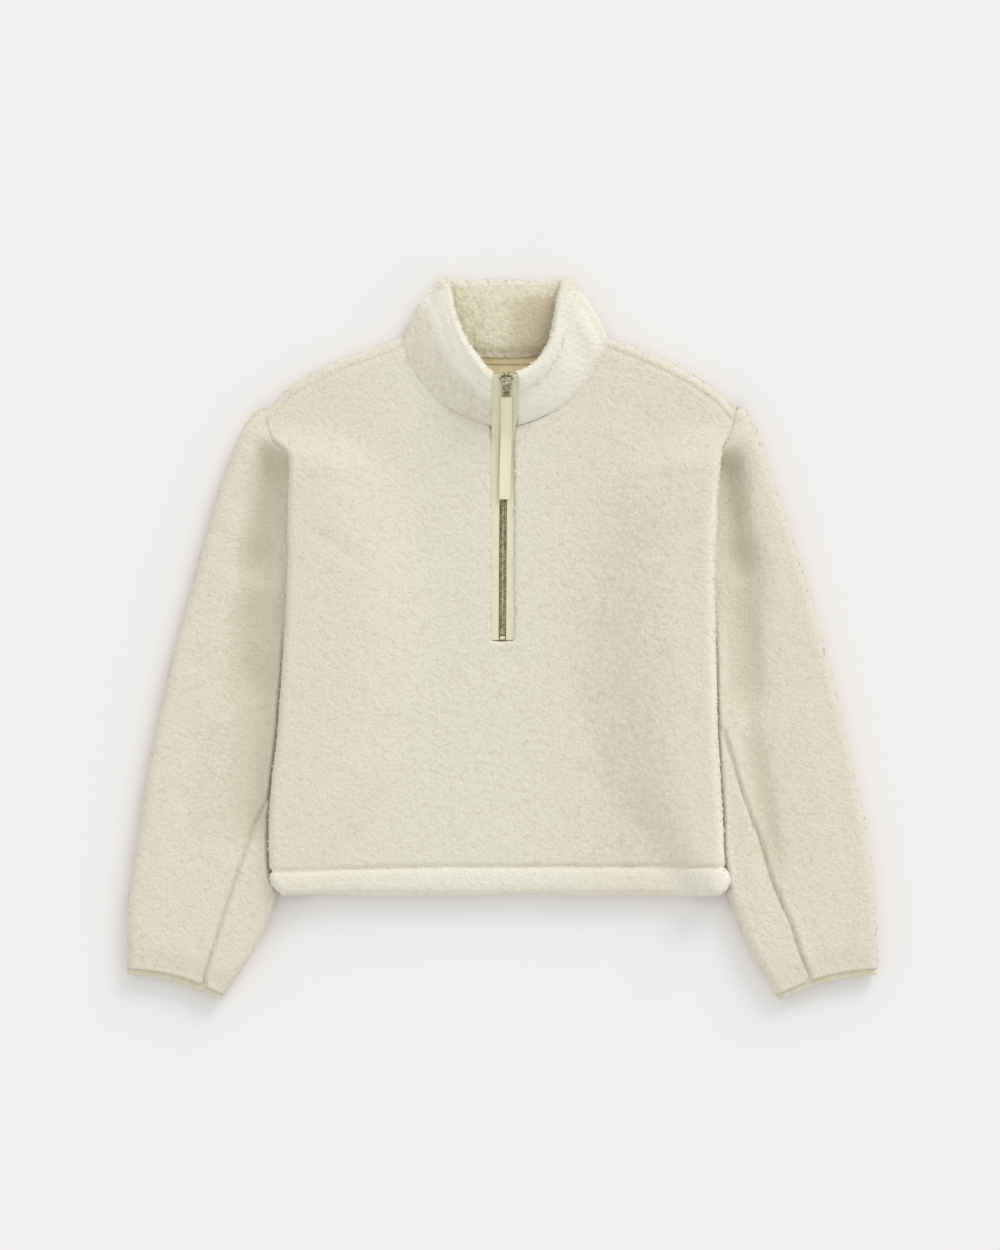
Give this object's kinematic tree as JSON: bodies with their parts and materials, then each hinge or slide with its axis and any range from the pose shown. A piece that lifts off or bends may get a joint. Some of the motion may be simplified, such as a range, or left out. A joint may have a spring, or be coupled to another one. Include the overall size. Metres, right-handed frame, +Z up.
{
  "type": "sherpa fleece half-zip pullover",
  "caption": "Cropped sherpa fleece pullover with a stand collar and a half zip with a long pull, laid flat with its sleeves beside the body.",
  "frame": {"origin": "on the surface it lies on, under the middle of the whole pullover", "axes": "+X to the viewer's right across the pullover, +Y from hem to collar, +Z up from the surface"},
  "size_m": [0.7506, 0.7208, 0.05],
  "materials": {
    "fleece": "curly sherpa pile, matte",
    "smooth_cloth": "smooth knit back of the fleece and neck tape",
    "zip_tape": "fine woven tape",
    "binding": "elastic binding",
    "teeth": "dark nickel",
    "bright_metal": "polished nickel",
    "pull": "satin soft strip"
  },
  "bodies": {
    "garment": {"front": "fleece", "back": "fleece", "collar": "fleece", "neck_tape": "smooth_cloth", "sleeve_left": "fleece", "sleeve_right": "fleece", "cuff_binding_left": "binding", "cuff_binding_right": "binding", "zip_tape_left": "zip_tape", "zip_tape_right": "zip_tape", "zip_chain": "teeth", "zip_bottom_stop": "bright_metal", "slider": "bright_metal"},
    "pull": {"pull_loop": "bright_metal", "pull_strip": "pull"}
  },
  "joints": [
    {"name": "pull_swing", "type": "hinge", "parent": "garment", "child": "pull", "pos_m": [0.00402, 0.25043, 0.04449], "axis": [-1, 0, 0], "range_deg": [0, 150]}
  ]
}
